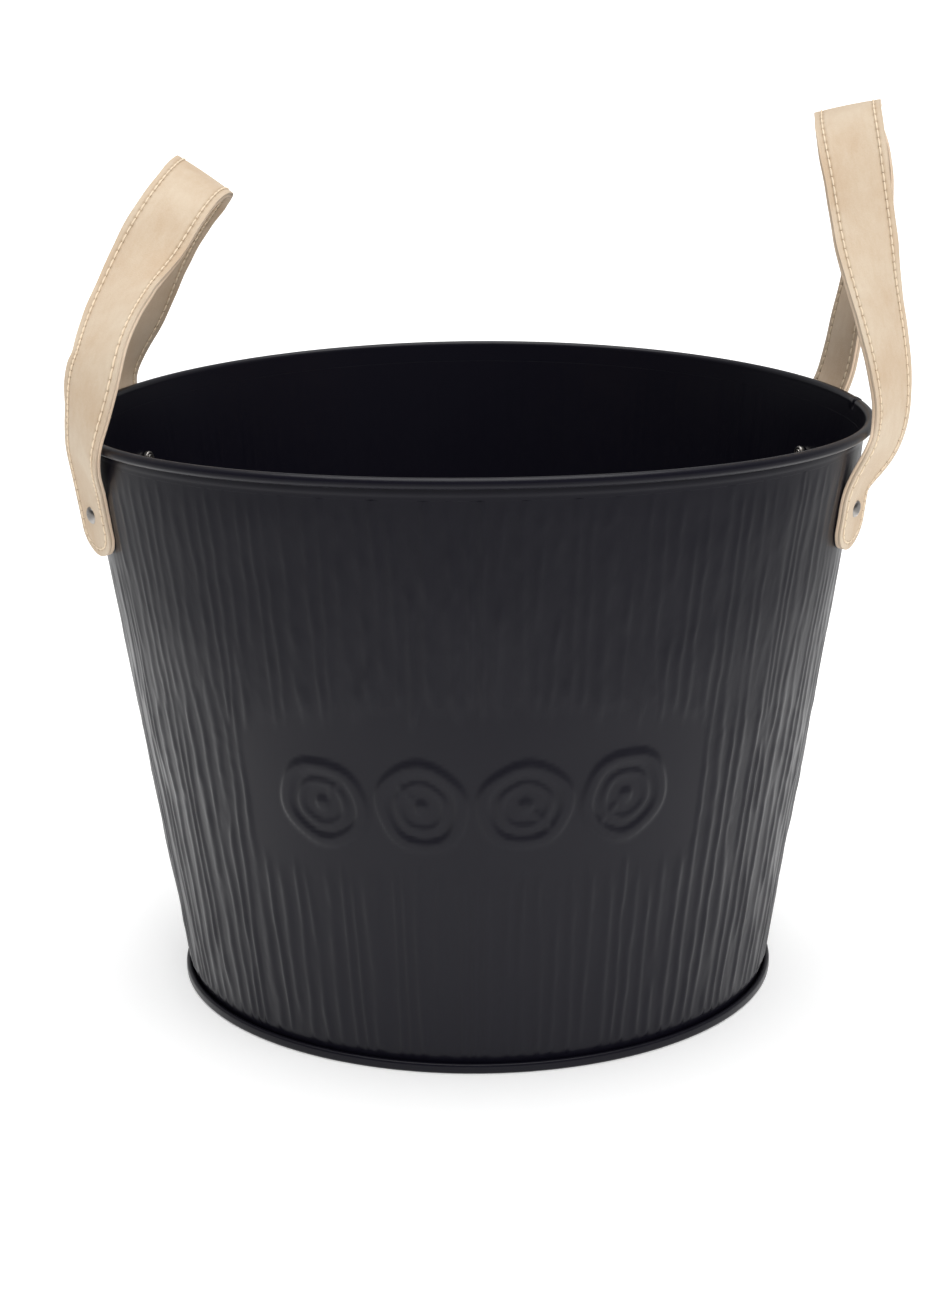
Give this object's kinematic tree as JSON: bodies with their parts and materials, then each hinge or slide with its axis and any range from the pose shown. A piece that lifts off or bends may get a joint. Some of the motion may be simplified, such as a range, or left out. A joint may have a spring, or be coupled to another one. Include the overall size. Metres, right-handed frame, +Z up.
{
  "type": "log bucket",
  "caption": "Round tapered steel bucket for carrying and storing firewood, with a wired rim, a seamed base and two stitched strap handles riveted to its sides.",
  "frame": {"origin": "centre of the base plate's flat underside, on the bucket's axis, where it stands on the floor", "axes": "+Z up along the bucket's axis; +X towards the taller handle; -Y towards the side with the smooth panel, which faces the viewer"},
  "size_m": [0.3837, 0.37, 0.4112],
  "materials": {
    "black_paint": "satin black powder coat over a finely ribbed, hammered sheet",
    "bright_wire": "bare drawn wire, hidden inside the rolled rim",
    "sand_suede": "soft sand-coloured suede",
    "brown_lining": "darker brown suede backing",
    "cream_thread": "waxed cream thread",
    "rivet_steel": "dull bright plated steel"
  },
  "bodies": {
    "bucket": {"side_wall": "black_paint", "rim_wire": "bright_wire", "base_plate": "black_paint", "left_front_tab_suede": "sand_suede", "left_front_tab_lining": "brown_lining", "left_rear_tab_suede": "sand_suede", "left_rear_tab_lining": "brown_lining", "right_front_tab_suede": "sand_suede", "right_front_tab_lining": "brown_lining", "right_rear_tab_suede": "sand_suede", "right_rear_tab_lining": "brown_lining", "left_front_tab_stitching": "cream_thread", "left_rear_tab_stitching": "cream_thread", "right_front_tab_stitching": "cream_thread", "right_rear_tab_stitching": "cream_thread", "left_front_rivet": "rivet_steel", "left_rear_rivet": "rivet_steel", "right_front_rivet": "rivet_steel", "right_rear_rivet": "rivet_steel", "left_front_rivet_collar": "rivet_steel", "left_rear_rivet_collar": "rivet_steel", "right_front_rivet_collar": "rivet_steel", "right_rear_rivet_collar": "rivet_steel", "left_front_bend_suede": "sand_suede", "left_front_bend_lining": "brown_lining", "left_rear_bend_suede": "sand_suede", "left_rear_bend_lining": "brown_lining", "right_front_bend_suede": "sand_suede", "right_front_bend_lining": "brown_lining", "right_rear_bend_suede": "sand_suede", "right_rear_bend_lining": "brown_lining"},
    "left_handle": {"left_loop_suede": "sand_suede", "left_loop_lining": "brown_lining", "left_loop_inner_stitching": "cream_thread", "left_loop_outer_stitching": "cream_thread"},
    "right_handle": {"right_loop_suede": "sand_suede", "right_loop_lining": "brown_lining", "right_loop_inner_stitching": "cream_thread", "right_loop_outer_stitching": "cream_thread"}
  },
  "joints": [
    {"name": "left_handle_fold", "type": "hinge", "parent": "bucket", "child": "left_handle", "pos_m": [-0.17118, 0, 0.28], "axis": [0, -1, 0], "range_deg": [-45, 110], "deforming": ["left_front_bend_suede", "left_front_bend_lining", "left_rear_bend_suede", "left_rear_bend_lining"]},
    {"name": "right_handle_fold", "type": "hinge", "parent": "bucket", "child": "right_handle", "pos_m": [0.18237, 0, 0.28], "axis": [0, 1, 0], "range_deg": [-75, 115], "deforming": ["right_front_bend_suede", "right_front_bend_lining", "right_rear_bend_suede", "right_rear_bend_lining"]}
  ]
}
